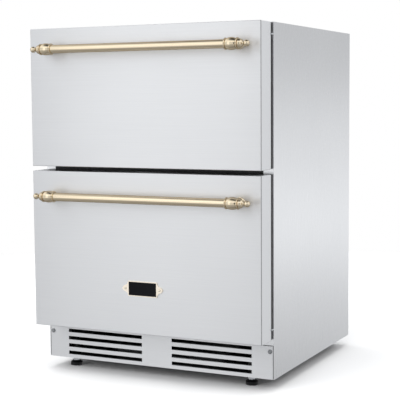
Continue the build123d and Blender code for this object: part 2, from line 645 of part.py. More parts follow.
SHROUD_X = CONDENSER_X[1] + TUBE_OVERHANG
RING_END_X = SHROUD_X + 31
RING_RADIUS = 66
STRUT_END_X = RING_END_X + 2
with BuildPart() as condenser_fan_shroud:
    plate_y = (BAY_MIDDLE_Y - 80, BAY_MIDDLE_Y + 80)
    block((SHROUD_X, SHROUD_X + 1.5), plate_y, (PAN_TOP_Z, FAN_Z + 86))
    rod((SHROUD_X, BAY_MIDDLE_Y, FAN_Z), (STRUT_END_X, BAY_MIDDLE_Y, FAN_Z), RING_RADIUS + 2)
    beyond_strut = (STRUT_END_X + 1, BAY_MIDDLE_Y, FAN_Z)
    rod((SHROUD_X - 1, BAY_MIDDLE_Y, FAN_Z), beyond_strut, RING_RADIUS, Mode.SUBTRACT)
    strut_y = (BAY_MIDDLE_Y - 8, BAY_MIDDLE_Y + 8)
    block((RING_END_X, STRUT_END_X), strut_y, (FAN_Z - RING_RADIUS - 1, FAN_Z + RING_RADIUS + 1))
    rod((RING_END_X - 1, BAY_MIDDLE_Y, FAN_Z), beyond_strut, 5, Mode.SUBTRACT)
save(condenser_fan_shroud.part, "condenser_fan_shroud")


def make_fan_motor(name, start, direction, body_radius, body_length, shaft_length):
    """A round motor standing on start, its shaft pointing back along the opposite direction."""
    with BuildPart() as motor:
        point = Vector(*start)
        along = Vector(*direction)
        rod(point, point + along * body_length, body_radius)
        fillet(motor.edges().filter_by(GeomType.CIRCLE), radius=3)
        rod(point, point - along * shaft_length, 2.5)
    save(motor.part, name)


def make_fan_wheel(name, hub_start, direction, hub_radius, hub_length, tip_radius, blades):
    """A moulded fan: hub with a blind bore and pitched blades, turning about direction."""
    start = Vector(*hub_start)
    along = Vector(*direction)
    middle = start + along * (hub_length / 2)
    radial_zero = Vector(0, 0, 1)
    sideways = along.cross(radial_zero)
    with BuildPart() as wheel:
        rod(start, start + along * hub_length, hub_radius)
        for n in range(blades):
            turn = radians(360 * n / blades)
            radial = radial_zero * cos(turn) + sideways * sin(turn)
            tangent = along.cross(radial)
            normal = along * cos(radians(28)) + tangent * sin(radians(28))
            with BuildSketch(Plane(origin=middle, x_dir=radial, z_dir=normal)):
                with BuildLine():
                    inner = hub_radius - 2
                    leading = [(inner, -6), (tip_radius - 8, -17), (tip_radius - 2, -8)]
                    trailing = [(tip_radius - 2, 10), (tip_radius - 8, 16), (inner, 7)]
                    Polyline(*leading, *trailing, close=True)
                make_face()
            extrude(amount=0.9, both=True)
        rod(start + along * 3, start + along * (hub_length + 1), 2.5 + RUNNING, Mode.SUBTRACT)
    save(wheel.part, name)


motor_start = (STRUT_END_X, BAY_MIDDLE_Y, FAN_Z)
make_fan_motor("condenser_fan_motor", motor_start, (1, 0, 0), 20, 30, 20)
wheel_start = (SHROUD_X + 9, BAY_MIDDLE_Y, FAN_Z)
make_fan_wheel("condenser_fan_wheel", wheel_start, (1, 0, 0), 17, 18, 62, 5)

with BuildPart() as refrigerant_lines:
    top_of_shell = SHELL_Z + SHELL_HEIGHT
    coil_inlet_x = sum(CONDENSER_X) / 2
    discharge = [
        (COMPRESSOR_X - 20, BAY_MIDDLE_Y - 20, top_of_shell),
        (COMPRESSOR_X - 20, BAY_MIDDLE_Y - 20, BAY_TOP_Z - 8),
        (coil_inlet_x, BAY_MIDDLE_Y - 20, BAY_TOP_Z - 8),
        (coil_inlet_x, BAY_MIDDLE_Y - 20, CONDENSER_Z[1]),
    ]
    suction = [
        (COMPRESSOR_X + 20, BAY_MIDDLE_Y + 20, top_of_shell),
        (COMPRESSOR_X + 20, BAY_MIDDLE_Y + 20, top_of_shell + 40),
        (COMPRESSOR_X + 70, BAY_MIDDLE_Y + 50, top_of_shell + 40),
        (COMPRESSOR_X + 70, BAY_MIDDLE_Y + 50, BAY_TOP_Z),
    ]
    for points, tube_radius in ((discharge, 3), (suction, 4)):
        with BuildLine() as route:
            FilletPolyline(*points, radius=14)
        with BuildSketch(Plane(origin=points[0], z_dir=(0, 0, 1))):
            Circle(tube_radius)
        sweep(path=route.line)
save(refrigerant_lines.part, "refrigerant_lines")

with BuildPart() as condensate_pan:
    block((-150, 150), (FRONT_Y + 60, BAY_FRONT_Y - 20), (PAN_TOP_Z, PAN_TOP_Z + 26))
    fillet(condensate_pan.edges().filter_by(Axis.Z), radius=12)
    offset(amount=-2, openings=condensate_pan.faces().sort_by(Axis.Z)[-1])
save(condensate_pan.part, "condensate_pan")

with BuildPart() as power_cord_gland:
    gland_shoulder = (GLAND_X, BAY_REAR_Y + SHEET, GLAND_Z)
    rod((GLAND_X, BAY_REAR_Y - 12, GLAND_Z), gland_shoulder, GLAND_RADIUS - 0.1)
    rod(gland_shoulder, (GLAND_X, BACK_Y - 0.2, GLAND_Z), GLAND_RADIUS + 4)
    fillet(power_cord_gland.faces().sort_by(Axis.Y)[-1].edges(), radius=1)
    rod((GLAND_X, BAY_REAR_Y - 20, GLAND_Z), (GLAND_X, BACK_Y + 1, GLAND_Z), 4, Mode.SUBTRACT)
save(power_cord_gland.part, "power_cord_gland")


# Cold side ---------------------------------------------------------------------------------------

COVER_FRONT_Y = LINER_BACK_Y - 54
COVER_Z = (300, 778)
COVER_HALF_WIDTH = 205
EVAPORATOR_FAN_Z = 430
GRILLE_RADIUS = 48
GRILLE_PITCH = 13
with BuildPart() as evaporator_cover:
    block((-COVER_HALF_WIDTH, COVER_HALF_WIDTH), (COVER_FRONT_Y, LINER_BACK_Y), COVER_Z)
    offset(amount=-2, openings=evaporator_cover.faces().sort_by(Axis.Y)[-1])
    cut_y = (COVER_FRONT_Y - 1, COVER_FRONT_Y + 3)
    for row in range(-3, 4):
        below = GRILLE_PITCH * row
        slot_half = sqrt(GRILLE_RADIUS ** 2 - below ** 2)
        slot_z = EVAPORATOR_FAN_Z + below
        block((-slot_half, slot_half), cut_y, (slot_z - 3, slot_z + 3), Mode.SUBTRACT)
    for n in range(-3, 4):
        vent_x = 50 * n
        block((vent_x - 18, vent_x + 18), cut_y, (752, 760), Mode.SUBTRACT)
save(evaporator_cover.part, "evaporator_cover")

EVAPORATOR_Y = (LINER_BACK_Y - 42, LINER_BACK_Y - 6)
evaporator_tubes = [(sum(EVAPORATOR_Y) / 2 + dy, z) for dy in (-9, 9) for z in (585, 625, 665, 705)]
EVAPORATOR_FINS = 25
make_finned_coil("evaporator_coil", (-150, 150), EVAPORATOR_Y, (560, 730), EVAPORATOR_FINS, evaporator_tubes,
                 COIL_TUBE_RADIUS)

motor_start = (0, LINER_BACK_Y - 22, EVAPORATOR_FAN_Z)
make_fan_motor("evaporator_fan_motor", motor_start, (0, 1, 0), 18, 22, 18)
wheel_start = (0, LINER_BACK_Y - 44, EVAPORATOR_FAN_Z)
make_fan_wheel("evaporator_fan_wheel", wheel_start, (0, 1, 0), 13, 16, 46, 5)

# Control box under the liner's ceiling, with three push buttons in its front
CONTROL_FRONT_Y = FRONT_Y + 34
CONTROL_Z = (764, LINER_CEILING_Z)
BUTTON_Z = 776
BUTTON_RADIUS = 5
BUTTONS = {"power_button": -60, "colder_button": -38, "warmer_button": -16}
with BuildPart() as control_housing:
    block((-90, 90), (CONTROL_FRONT_Y, CONTROL_FRONT_Y + 58), CONTROL_Z)
    fillet(control_housing.edges().filter_by(Axis.Z), radius=3)
    hollow_y = (CONTROL_FRONT_Y + 2, CONTROL_FRONT_Y + 56)
    block((-88, 88), hollow_y, (CONTROL_Z[0] + 2, CONTROL_Z[1] - 2), Mode.SUBTRACT)
    for x in BUTTONS.values():
        front = (x, CONTROL_FRONT_Y - 1, BUTTON_Z)
        rod(front, (x, CONTROL_FRONT_Y + 3, BUTTON_Z), BUTTON_RADIUS + RUNNING, Mode.SUBTRACT)
save(control_housing.part, "control_housing")

for button_name, x in BUTTONS.items():
    with BuildPart() as button:
        rod((x, CONTROL_FRONT_Y - 3, BUTTON_Z), (x, CONTROL_FRONT_Y + 5, BUTTON_Z), BUTTON_RADIUS)
        fillet(button.edges().sort_by(Axis.Y)[0], radius=0.8)
    save(button.part, button_name)

with BuildPart() as led_strip:
    block((-130, 130), (FRONT_Y + 112, FRONT_Y + 132), (LINER_CEILING_Z - 6, LINER_CEILING_Z))
    fillet(led_strip.edges().group_by(Axis.Z)[0], radius=3)
save(led_strip.part, "led_strip")
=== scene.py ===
"""Looks of the two-drawer under-counter refrigerator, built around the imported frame, in metres."""

import math

import bmesh
import bpy
from mathutils import Matrix, Vector


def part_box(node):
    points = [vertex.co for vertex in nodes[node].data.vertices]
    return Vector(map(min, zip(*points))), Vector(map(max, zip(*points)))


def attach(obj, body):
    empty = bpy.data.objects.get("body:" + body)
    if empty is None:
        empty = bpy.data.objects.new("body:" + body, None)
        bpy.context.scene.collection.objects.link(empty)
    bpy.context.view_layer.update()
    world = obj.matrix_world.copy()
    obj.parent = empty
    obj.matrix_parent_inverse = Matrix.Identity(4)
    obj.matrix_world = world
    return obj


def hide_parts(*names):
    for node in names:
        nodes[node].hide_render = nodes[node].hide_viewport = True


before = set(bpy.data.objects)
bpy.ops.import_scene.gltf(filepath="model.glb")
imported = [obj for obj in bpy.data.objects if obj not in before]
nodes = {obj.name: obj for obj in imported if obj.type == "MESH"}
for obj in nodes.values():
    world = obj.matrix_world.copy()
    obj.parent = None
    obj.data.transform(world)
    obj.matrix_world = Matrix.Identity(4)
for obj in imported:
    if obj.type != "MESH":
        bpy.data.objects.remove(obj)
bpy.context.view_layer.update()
scene = bpy.context.scene
scene.view_settings.view_transform = "Standard"


# Camera, floor and light ----------------------------------------------------------------------

CAMERA_AT = Vector((1.2202, -2.4899, 0.6590))
CAMERA_AZIMUTH = math.radians(25.844)
CAMERA_PITCH = math.radians(5.156)
CAMERA_ROLL = math.radians(-0.413)
LENS = 99.44
SENSOR_WIDTH = 36
CLIP_START, CLIP_END = 0.05, 200


def add_camera():
    """The camera, to the right of the front and a little above the middle."""
    backward = Vector((
        math.sin(CAMERA_AZIMUTH) * math.cos(CAMERA_PITCH),
        -math.cos(CAMERA_AZIMUTH) * math.cos(CAMERA_PITCH),
        math.sin(CAMERA_PITCH),
    ))
    level = (-backward).cross(Vector((0, 0, 1))).normalized()
    upright = level.cross(-backward)
    right = math.cos(CAMERA_ROLL) * level + math.sin(CAMERA_ROLL) * upright
    up = -math.sin(CAMERA_ROLL) * level + math.cos(CAMERA_ROLL) * upright
    turn = Matrix((right, up, backward)).transposed().to_4x4()
    camera = bpy.data.objects.new("camera", bpy.data.cameras.new("camera"))
    camera.data.lens = LENS
    camera.data.sensor_width = SENSOR_WIDTH
    camera.data.clip_start = CLIP_START
    camera.data.clip_end = CLIP_END
    scene.collection.objects.link(camera)
    camera.matrix_world = Matrix.Translation(CAMERA_AT) @ turn
    scene.camera = camera


FLOOR_RADIUS = 2.1
FLOOR_SEGMENTS = 96
FLOOR_COLOR = (0.94, 0.94, 0.94, 1)
FLOOR_ROUGHNESS = 0.9
FLOOR_SPECULAR = 0.1


def add_floor():
    """A plain white disc, lit from above; the metals reflect the room below the horizon instead."""
    mesh = bpy.data.meshes.new("floor")
    shape = bmesh.new()
    bmesh.ops.create_circle(shape, cap_ends=True, segments=FLOOR_SEGMENTS, radius=FLOOR_RADIUS)
    shape.to_mesh(mesh)
    shape.free()
    floor = bpy.data.objects.new("floor", mesh)
    floor.visible_glossy = False
    scene.collection.objects.link(floor)
    paint = bpy.data.materials.new("floor_paint")
    paint.use_nodes = True
    shader = paint.node_tree.nodes["Principled BSDF"]
    shader.inputs["Base Color"].default_value = FLOOR_COLOR
    shader.inputs["Roughness"].default_value = FLOOR_ROUGHNESS
    shader.inputs["Specular IOR Level"].default_value = FLOOR_SPECULAR
    mesh.materials.append(paint)


# Brightness of the room by the sine of the elevation, from straight down to straight up
ROOM = (
    (-1.00, 0.26), (-0.73, 0.38), (-0.42, 0.50), (-0.26, 0.54), (-0.19, 0.76), (-0.11, 1.10),
    (-0.04, 0.92), (0.05, 0.63), (0.12, 0.64), (0.34, 1.00), (0.62, 1.12), (0.80, 0.80),
    (0.90, 0.20), (1.00, 0.05),
)
ROOM_TOP = max(level for _, level in ROOM)
ROOM_TINT = (0.975, 0.985, 1.0)
# A dark upright patch in the reflections, as from someone who stands before the object: its
# direction, the scale of directions on each axis, the cosines at its edge, and its brightness
FIGURE_TOWARD = (0.42, -0.90, 0.05)
FIGURE_FLATTEN = (1.0, 1.0, 0.6)
FIGURE_EDGE = (0.972, 0.990)
FIGURE_LEVEL = 0.15
WHITE = (1, 1, 1, 1)


def add_room():
    """White for the camera; for light and reflections a soft grey room with a bright ceiling."""
    world = bpy.data.worlds.new("room")
    world.use_nodes = True
    scene.world = world
    tree = world.node_tree
    tree.nodes.clear()
    place = tree.nodes.new("ShaderNodeTexCoord")
    split = tree.nodes.new("ShaderNodeSeparateXYZ")
    height = tree.nodes.new("ShaderNodeMapRange")
    height.inputs["From Min"].default_value = -1
    height.inputs["From Max"].default_value = 1
    ramp = tree.nodes.new("ShaderNodeValToRGB")
    ramp.color_ramp.interpolation = "EASE"
    marks = ramp.color_ramp.elements
    while len(marks) > 1:
        marks.remove(marks[-1])
    for index, (sine, level) in enumerate(ROOM):
        spot = (sine + 1) / 2
        mark = marks[0] if index == 0 else marks.new(spot)
        mark.position = spot
        share = level / ROOM_TOP
        mark.color = (share * ROOM_TINT[0], share * ROOM_TINT[1], share * ROOM_TINT[2], 1)
    flatten = tree.nodes.new("ShaderNodeVectorMath")
    flatten.operation = "MULTIPLY"
    flatten.inputs[1].default_value = FIGURE_FLATTEN
    level = tree.nodes.new("ShaderNodeVectorMath")
    level.operation = "NORMALIZE"
    toward = tree.nodes.new("ShaderNodeVectorMath")
    toward.operation = "DOT_PRODUCT"
    toward.inputs[1].default_value = Vector(FIGURE_TOWARD).normalized()
    figure = tree.nodes.new("ShaderNodeMapRange")
    figure.interpolation_type = "SMOOTHSTEP"
    figure.inputs["From Min"].default_value = FIGURE_EDGE[0]
    figure.inputs["From Max"].default_value = FIGURE_EDGE[1]
    figure.inputs["To Min"].default_value = ROOM_TOP
    figure.inputs["To Max"].default_value = ROOM_TOP * FIGURE_LEVEL
    room = tree.nodes.new("ShaderNodeBackground")
    white = tree.nodes.new("ShaderNodeBackground")
    white.inputs["Color"].default_value = WHITE
    seen = tree.nodes.new("ShaderNodeLightPath")
    mix = tree.nodes.new("ShaderNodeMixShader")
    out = tree.nodes.new("ShaderNodeOutputWorld")
    link = tree.links.new
    link(place.outputs["Generated"], split.inputs[0])
    link(split.outputs["Z"], height.inputs["Value"])
    link(height.outputs["Result"], ramp.inputs["Fac"])
    link(ramp.outputs["Color"], room.inputs["Color"])
    link(place.outputs["Generated"], flatten.inputs[0])
    link(flatten.outputs[0], level.inputs[0])
    link(level.outputs[0], toward.inputs[0])
    link(toward.outputs["Value"], figure.inputs["Value"])
    link(figure.outputs["Result"], room.inputs["Strength"])
    link(seen.outputs["Is Camera Ray"], mix.inputs["Fac"])
    link(room.outputs[0], mix.inputs[1])
    link(white.outputs[0], mix.inputs[2])
    link(mix.outputs[0], out.inputs["Surface"])


# Name, place, aim, width and height, watts, and whether the metals mirror the light
SOFTBOXES = (
    ("front_softbox", (-0.92, -2.15, 0.80), (0, -0.28, 0.5), (0.9, 2.1), 2.2, True),
    ("top_light", (0, -0.4, 3.4), (0, 0, 0), (3.2, 3.2), 90, False),
    ("floor_light", (-1.8, -3.6, 1.9), (0, -0.4, 0), (2.5, 2.0), 75, False),
    ("side_light", (2.6, -0.9, 2.4), (0.8, 0.3, 0), (1.6, 1.6), 16, False),
)


def add_softbox(name, at, aim, size, power, mirrored):
    """A rectangular soft light that the camera doesn't see."""
    lamp = bpy.data.lights.new(name, "AREA")
    lamp.shape = "RECTANGLE"
    lamp.size, lamp.size_y = size
    lamp.energy = power
    box = bpy.data.objects.new(name, lamp)
    scene.collection.objects.link(box)
    box.location = at
    box.rotation_mode = "QUATERNION"
    box.rotation_quaternion = (Vector(aim) - Vector(at)).to_track_quat("-Z", "Y")
    box.visible_camera = False
    box.visible_glossy = mirrored


add_camera()
add_floor()
add_room()
for softbox in SOFTBOXES:
    add_softbox(*softbox)


# Materials ------------------------------------------------------------------------------------

# Usual span of a noise texture's values
NOISE_LOW, NOISE_HIGH = 0.3, 0.7
# Places of a colour mix's sockets
MIX_FACTOR, MIX_FIRST, MIX_SECOND, MIX_COLOR = 0, 6, 7, 2
# Where the painted shadow lines on the drawer fronts' upright folds begin, as distance from the
# middle and depth in metres, and how dark that painted shade is beside the sheet
DRAWER_SHADOW_LINE = (0.2959, -0.2761)
FOLD_SHADE = 0.40


class Paint:
    """A material's node tree, with short calls to add to it. Textures lie in object space."""

    def __init__(self, name):
        self.material = bpy.data.materials.new(name)
        self.material.use_nodes = True
        self.tree = self.material.node_tree
        self.shader = self.tree.nodes["Principled BSDF"]
        self.place = self.tree.nodes.new("ShaderNodeTexCoord").outputs["Object"]

    def node(self, kind, **values):
        made = self.tree.nodes.new(kind)
        for key, value in values.items():
            setattr(made, key, value)
        return made

    def link(self, source, target):
        self.tree.links.new(source, target)

    def noise(self, scale, detail, roughness=0.6):
        """Noise with its own scale along each axis, or one scale for all."""
        if not isinstance(scale, tuple):
            scale = (scale, scale, scale)
        mapping = self.node("ShaderNodeMapping")
        mapping.inputs["Scale"].default_value = scale
        self.link(self.place, mapping.inputs["Vector"])
        texture = self.node("ShaderNodeTexNoise")
        texture.inputs["Scale"].default_value = 1
        texture.inputs["Detail"].default_value = detail
        texture.inputs["Roughness"].default_value = roughness
        self.link(mapping.outputs["Vector"], texture.inputs["Vector"])
        return texture.outputs["Fac"]

    def cells(self, scale, output):
        """Voronoi cells: Color is a random flat value in each, Distance grows from its middle."""
        texture = self.node("ShaderNodeTexVoronoi")
        texture.inputs["Scale"].default_value = scale
        self.link(self.place, texture.inputs["Vector"])
        return texture.outputs[output]

    def between(self, factor, low, high):
        """A number that runs from low to high as factor crosses a noise's usual span."""
        span = self.node("ShaderNodeMapRange")
        span.inputs["From Min"].default_value = NOISE_LOW
        span.inputs["From Max"].default_value = NOISE_HIGH
        span.inputs["To Min"].default_value = low
        span.inputs["To Max"].default_value = high
        self.link(factor, span.inputs["Value"])
        return span.outputs["Result"]

    def blend(self, factor, first, second):
        """A colour between two colours."""
        mix = self.node("ShaderNodeMix", data_type="RGBA")
        mix.inputs[MIX_FIRST].default_value = (*first, 1)
        mix.inputs[MIX_SECOND].default_value = (*second, 1)
        self.link(factor, mix.inputs[MIX_FACTOR])
        return mix.outputs[MIX_COLOR]

    def bump(self, height, strength, distance, after=None):
        """Fine relief; after is an earlier bump that this one adds to."""
        relief = self.node("ShaderNodeBump")
        relief.inputs["Strength"].default_value = strength
        relief.inputs["Distance"].default_value = distance
        self.link(height, relief.inputs["Height"])
        if after is not None:
            self.link(after, relief.inputs["Normal"])
        return relief.outputs["Normal"]

    def toned(self, factor, dark, light):
        """A colour between dark and light, by a noise's value."""
        return self.blend(self.between(factor, 0, 1), dark, light)

    def painted_shadow_line(self, factor, beyond, before):
        """Factor, lowered to paint a shadow line on the upright folds at the front: |x| over beyond
        and y under before.
        """
        split = self.node("ShaderNodeSeparateXYZ")
        self.link(self.place, split.inputs[0])
        aside = self.node("ShaderNodeMath", operation="ABSOLUTE")
        self.link(split.outputs["X"], aside.inputs[0])
        past_side = self.node("ShaderNodeMath", operation="GREATER_THAN")
        past_side.inputs[1].default_value = beyond
        self.link(aside.outputs[0], past_side.inputs[0])
        at_front = self.node("ShaderNodeMath", operation="LESS_THAN")
        at_front.inputs[1].default_value = before
        self.link(split.outputs["Y"], at_front.inputs[0])
        shadow_line_mask = self.node("ShaderNodeMath", operation="MULTIPLY")
        self.link(past_side.outputs[0], shadow_line_mask.inputs[0])
        self.link(at_front.outputs[0], shadow_line_mask.inputs[1])
        # Painted shade: on the folds the colour factor is scaled down to FOLD_SHADE
        shadow_line_level = self.node("ShaderNodeMapRange")
        shadow_line_level.inputs["To Min"].default_value = 1
        shadow_line_level.inputs["To Max"].default_value = FOLD_SHADE
        self.link(shadow_line_mask.outputs[0], shadow_line_level.inputs["Value"])
        result = self.node("ShaderNodeMath", operation="MULTIPLY")
        self.link(factor, result.inputs[0])
        self.link(shadow_line_level.outputs["Result"], result.inputs[1])
        return result.outputs[0]

    def set(self, **values):
        """Sets sockets by name, _ for a space, to a number, a colour or another node's output."""
        for key, value in values.items():
            socket = self.shader.inputs[key.replace("_", " ")]
            if isinstance(value, bpy.types.NodeSocket):
                self.link(value, socket)
            elif isinstance(value, tuple) and len(value) == 3:
                socket.default_value = (*value, 1)
            else:
                socket.default_value = value


# How much darker and brighter than the sheet a grinding line is
STREAKS = (0.975, 1.015)
# How much finer the hairlines are than the grinding lines
HAIR_FINER = 4


def brushed(name, grain, dark, light, rough, anisotropic=0.0, rotation=0.0, shadow_line_at=None):
    """Sheet metal with grinding lines. grain is the noise scale on each axis, lowest along them.

    The last argument places a painted shadow line on the sheet's upright folds: distance from the
    middle, depth.
    """
    paint = Paint(name)
    lines = paint.noise(grain, detail=5, roughness=0.7)
    broad = paint.noise(scale=3.1, detail=2)
    hair = paint.noise(tuple(HAIR_FINER * scale for scale in grain), detail=2)
    tone = paint.toned(broad, dark, light)
    streaks_and_shadow_line = paint.between(lines, *STREAKS)
    shade = paint.node("ShaderNodeVectorMath", operation="SCALE")
    paint.link(tone, shade.inputs[0])
    # Paints a shadow line into the colour at the sheet's upright folds
    if shadow_line_at:
        streaks_and_shadow_line = paint.painted_shadow_line(streaks_and_shadow_line, *shadow_line_at)
    paint.link(streaks_and_shadow_line, shade.inputs["Scale"])
    relief = paint.bump(lines, strength=0.05, distance=0.0004)
    paint.set(
        Base_Color=shade.outputs[0],
        Metallic=1.0,
        Roughness=paint.between(hair, *rough),
        Anisotropic=anisotropic,
        Anisotropic_Rotation=rotation,
        Normal=paint.bump(hair, strength=0.03, distance=0.0002, after=relief),
    )
    return paint.material


def polished(name, dark, light, rough, rim=(1, 1, 1)):
    """Smooth bright metal with faint smears. rim tints what it mirrors at a grazing angle."""
    paint = Paint(name)
    smears = paint.noise(scale=14, detail=3)
    fine = paint.noise(scale=900, detail=2)
    paint.set(
        Base_Color=paint.toned(smears, dark, light),
        Metallic=1.0,
        Roughness=paint.between(smears, *rough),
        Specular_Tint=rim,
        Normal=paint.bump(fine, strength=0.04, distance=0.0001),
    )
    return paint.material


def zinc(name, dark, light, rough, spangle):
    """Galvanised sheet with its flower pattern."""
    paint = Paint(name)
    flowers = paint.cells(scale=spangle, output="Color")
    split = paint.node("ShaderNodeSeparateColor")
    paint.link(flowers, split.inputs[0])
    fine = paint.noise(scale=700, detail=3)
    paint.set(
        Base_Color=paint.blend(split.outputs[0], dark, light),
        Metallic=1.0,
        Roughness=paint.between(split.outputs[1], *rough),
        Normal=paint.bump(fine, strength=0.1, distance=0.0002),
    )
    return paint.material


def moulded(name, dark, light, rough, grain, relief, specular=0.5):
    """Plastic, rubber or paint with a fine grain."""
    paint = Paint(name)
    broad = paint.noise(scale=9, detail=3)
    fine = paint.noise(grain, detail=3)
    paint.set(
        Base_Color=paint.toned(broad, dark, light),
        Roughness=paint.between(fine, *rough),
        Specular_IOR_Level=specular,
        Normal=paint.bump(fine, strength=relief, distance=0.0003),
    )
    return paint.material


def foam(name, dark, light):
    """Cut insulating foam with open cells."""
    paint = Paint(name)
    cells = paint.cells(scale=420, output="Distance")
    broad = paint.noise(scale=12, detail=4)
    paint.set(
        Base_Color=paint.toned(broad, dark, light),
        Roughness=0.95,
        Normal=paint.bump(cells, strength=0.5, distance=0.001),
    )
    return paint.material


def finned(name, dark, light, rough):
    """Thin aluminium fins with patches of dust."""
    paint = Paint(name)
    dust = paint.noise(scale=60, detail=5)
    fine = paint.noise(scale=500, detail=2)
    paint.set(
        Base_Color=paint.toned(dust, dark, light),
        Metallic=1.0,
        Roughness=paint.between(dust, *rough),
        Normal=paint.bump(fine, strength=0.12, distance=0.0002),
    )
    return paint.material


# Heights of a foot's pad and nut, the thread's wave scale, and the tones and roughness of a foot
FOOT_PAD_TOP = 0.0126
FOOT_NUT_TOP = 0.0218
THREAD_SCALE = 200
PAD_BLACK, FOOT_STEEL = (0.003, 0.003, 0.004), (0.48, 0.49, 0.51)
PAD_ROUGHNESS, FOOT_STEEL_ROUGHNESS = 0.5, 0.25


def foot_paint(name):
    """Black moulded pad below, bright steel nut and threaded stem above."""
    paint = Paint(name)
    split = paint.node("ShaderNodeSeparateXYZ")
    paint.link(paint.place, split.inputs[0])
    above = paint.node("ShaderNodeMath", operation="GREATER_THAN")
    above.inputs[1].default_value = FOOT_PAD_TOP
    paint.link(split.outputs["Z"], above.inputs[0])
    thread = paint.node("ShaderNodeTexWave", bands_direction="Z")
    thread.inputs["Scale"].default_value = THREAD_SCALE
    paint.link(paint.place, thread.inputs["Vector"])
    fine = paint.noise(scale=1200, detail=3)
    threaded = paint.node("ShaderNodeMath", operation="GREATER_THAN")
    threaded.inputs[1].default_value = FOOT_NUT_TOP
    paint.link(split.outputs["Z"], threaded.inputs[0])
    height = paint.node("ShaderNodeMath", operation="MULTIPLY")
    paint.link(thread.outputs["Fac"], height.inputs[0])
    paint.link(threaded.outputs[0], height.inputs[1])
    relief = paint.bump(fine, strength=0.15, distance=0.0003)
    rough = paint.node("ShaderNodeMapRange")
    rough.inputs["To Min"].default_value = PAD_ROUGHNESS
    rough.inputs["To Max"].default_value = FOOT_STEEL_ROUGHNESS
    paint.link(above.outputs[0], rough.inputs["Value"])
    paint.set(
        Base_Color=paint.blend(above.outputs[0], PAD_BLACK, FOOT_STEEL),
        Metallic=above.outputs[0],
        Specular_IOR_Level=0.25,
        Roughness=rough.outputs["Result"],
        Normal=paint.bump(height.outputs[0], strength=0.6, distance=0.0008, after=relief),
    )
    return paint.material


def diffuser(name, dark, light, rough):
    """Milky light cover."""
    paint = Paint(name)
    fine = paint.noise(scale=1500, detail=2)
    cloud = paint.noise(scale=30, detail=2)
    paint.set(
        Base_Color=paint.blend(cloud, dark, light),
        Roughness=paint.between(fine, *rough),
        Subsurface_Weight=0.3,
        Subsurface_Scale=0.003,
        Normal=paint.bump(fine, strength=0.08, distance=0.0002),
    )
    return paint.material


def clear_plastic(name, dark, light, rough):
    """Half-clear soft plastic."""
    paint = Paint(name)
    fine = paint.noise(scale=900, detail=2)
    cloud = paint.noise(scale=200, detail=2)
    paint.set(
        Base_Color=paint.blend(cloud, dark, light),
        Roughness=paint.between(fine, *rough),
        Transmission_Weight=0.35,
        IOR=1.46,
        Normal=paint.bump(fine, strength=0.05, distance=0.0002),
    )
    return paint.material


# Sheet metals: name, direction of the lines, dark and light tone, lowest and highest roughness
STEEL_DARK = (0.818, 0.826, 0.840)
STEEL_LIGHT = (0.842, 0.850, 0.863)
BRASS_RIM = (0.20, 0.13, 0.07)
# Grinding lines that run across the front, up the sides and along the bins
ACROSS, UPRIGHT, ALONG = (5, 900, 900), (900, 900, 5), (700, 5, 700)
FRONT_ROUGH = (0.33, 0.40)
# Strength and direction of the smear of reflections in the front sheets
FRONT_SMEAR = (0.85, 0.25)

# The drawer front sheets carry a painted shadow line at their upright folds
front_steel = brushed(
    "front_steel", ACROSS, STEEL_DARK, STEEL_LIGHT, FRONT_ROUGH, *FRONT_SMEAR, shadow_line_at=DRAWER_SHADOW_LINE,
)
kick_steel = brushed("kick_steel", ACROSS, STEEL_DARK, STEEL_LIGHT, FRONT_ROUGH, *FRONT_SMEAR)
side_steel = brushed(
    "side_steel", UPRIGHT, STEEL_DARK, STEEL_LIGHT, (0.25, 0.31), anisotropic=0.8,
)
top_steel = brushed("top_steel", ACROSS, STEEL_DARK, STEEL_LIGHT, (0.27, 0.34))
bin_steel = brushed("bin_steel", ALONG, (0.66, 0.67, 0.68), (0.74, 0.75, 0.76), (0.3, 0.4))

# Other metals: name, dark and light tone, lowest and highest roughness
slide_steel = polished("slide_steel", (0.62, 0.63, 0.64), (0.72, 0.73, 0.74), (0.25, 0.35))
screw_steel = polished("screw_steel", (0.24, 0.25, 0.26), (0.36, 0.37, 0.38), (0.2, 0.3))
brass = polished("brass", (0.86, 0.735, 0.535), (0.90, 0.77, 0.57), (0.08, 0.12), rim=BRASS_RIM)
badge_brass = polished("badge_brass", (0.88, 0.80, 0.68), (0.92, 0.84, 0.72), (0.2, 0.28))
copper = polished("copper", (0.72, 0.36, 0.22), (0.83, 0.46, 0.31), (0.25, 0.4))
motor_metal = polished("motor_metal", (0.42, 0.43, 0.45), (0.52, 0.53, 0.55), (0.35, 0.45))
galvanised = zinc(
    "galvanised", (0.62, 0.64, 0.66), (0.73, 0.74, 0.76), (0.32, 0.5), spangle=100,
)
coil_aluminium = finned("coil_aluminium", (0.62, 0.63, 0.64), (0.78, 0.79, 0.80), (0.35, 0.5))

# Paints, plastics and rubbers: as above, then the grain's scale and relief
black_enamel = moulded(
    "black_enamel", (0.010, 0.010, 0.011), (0.016, 0.016, 0.017), (0.3, 0.42), 500, 0.1,
)
mullion_black = moulded(
    "mullion_black", (0.020, 0.020, 0.022), (0.028, 0.028, 0.030), (0.4, 0.5), 800, 0.1,
)
badge_black = moulded(
    "badge_black", (0.004, 0.004, 0.005), (0.007, 0.007, 0.008), (0.18, 0.26), 900, 0.04,
    specular=0.05,
)
black_plastic = moulded(
    "black_plastic", (0.014, 0.014, 0.015), (0.022, 0.022, 0.024), (0.42, 0.55), 1100, 0.2,
)
gasket_rubber = moulded(
    "gasket_rubber", (0.016, 0.016, 0.018), (0.026, 0.026, 0.028), (0.5, 0.62), 1500, 0.15,
)
grommet_rubber = moulded(
    "grommet_rubber", (0.012, 0.012, 0.013), (0.02, 0.02, 0.021), (0.6, 0.75), 1500, 0.25,
)
